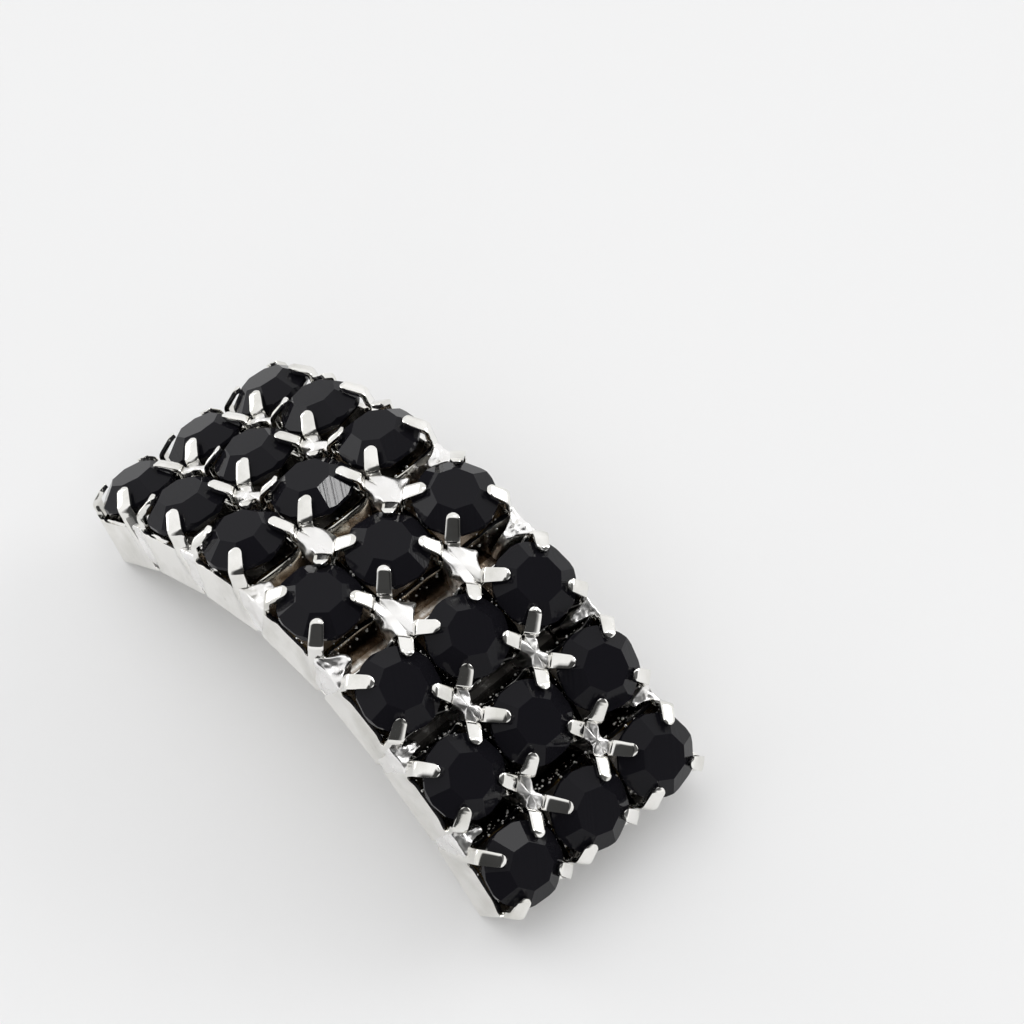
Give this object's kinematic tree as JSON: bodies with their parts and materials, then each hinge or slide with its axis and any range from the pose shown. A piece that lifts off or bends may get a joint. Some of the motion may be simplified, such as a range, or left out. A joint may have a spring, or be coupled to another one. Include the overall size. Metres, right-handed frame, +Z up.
{
  "type": "rhinestone ribbon slider",
  "caption": "Arched ribbon slider of bright plated metal with black cut stones in claw cups and a flat bar behind that a ribbon threads over.",
  "frame": {"origin": "centre of the footprint, on the surface that the two end edges stand on", "axes": "+X along the arch, towards column 7; +Y across the arch, from row a to row c; +Z up, through the top of the arch"},
  "size_m": [0.0356, 0.0142, 0.0128],
  "materials": {
    "plated_metal": "bright silver plate over brass, soldered",
    "black_stone": "polished black cut glass with a gold foil back"
  },
  "bodies": {
    "root": {"slider_frame": "plated_metal", "stone_a1": "black_stone", "stone_a2": "black_stone", "stone_a3": "black_stone", "stone_a4": "black_stone", "stone_a5": "black_stone", "stone_a6": "black_stone", "stone_a7": "black_stone", "stone_b1": "black_stone", "stone_b2": "black_stone", "stone_b3": "black_stone", "stone_b4": "black_stone", "stone_b5": "black_stone", "stone_b6": "black_stone", "stone_b7": "black_stone", "stone_c1": "black_stone", "stone_c2": "black_stone", "stone_c3": "black_stone", "stone_c4": "black_stone", "stone_c5": "black_stone", "stone_c6": "black_stone", "stone_c7": "black_stone"}
  },
  "joints": []
}
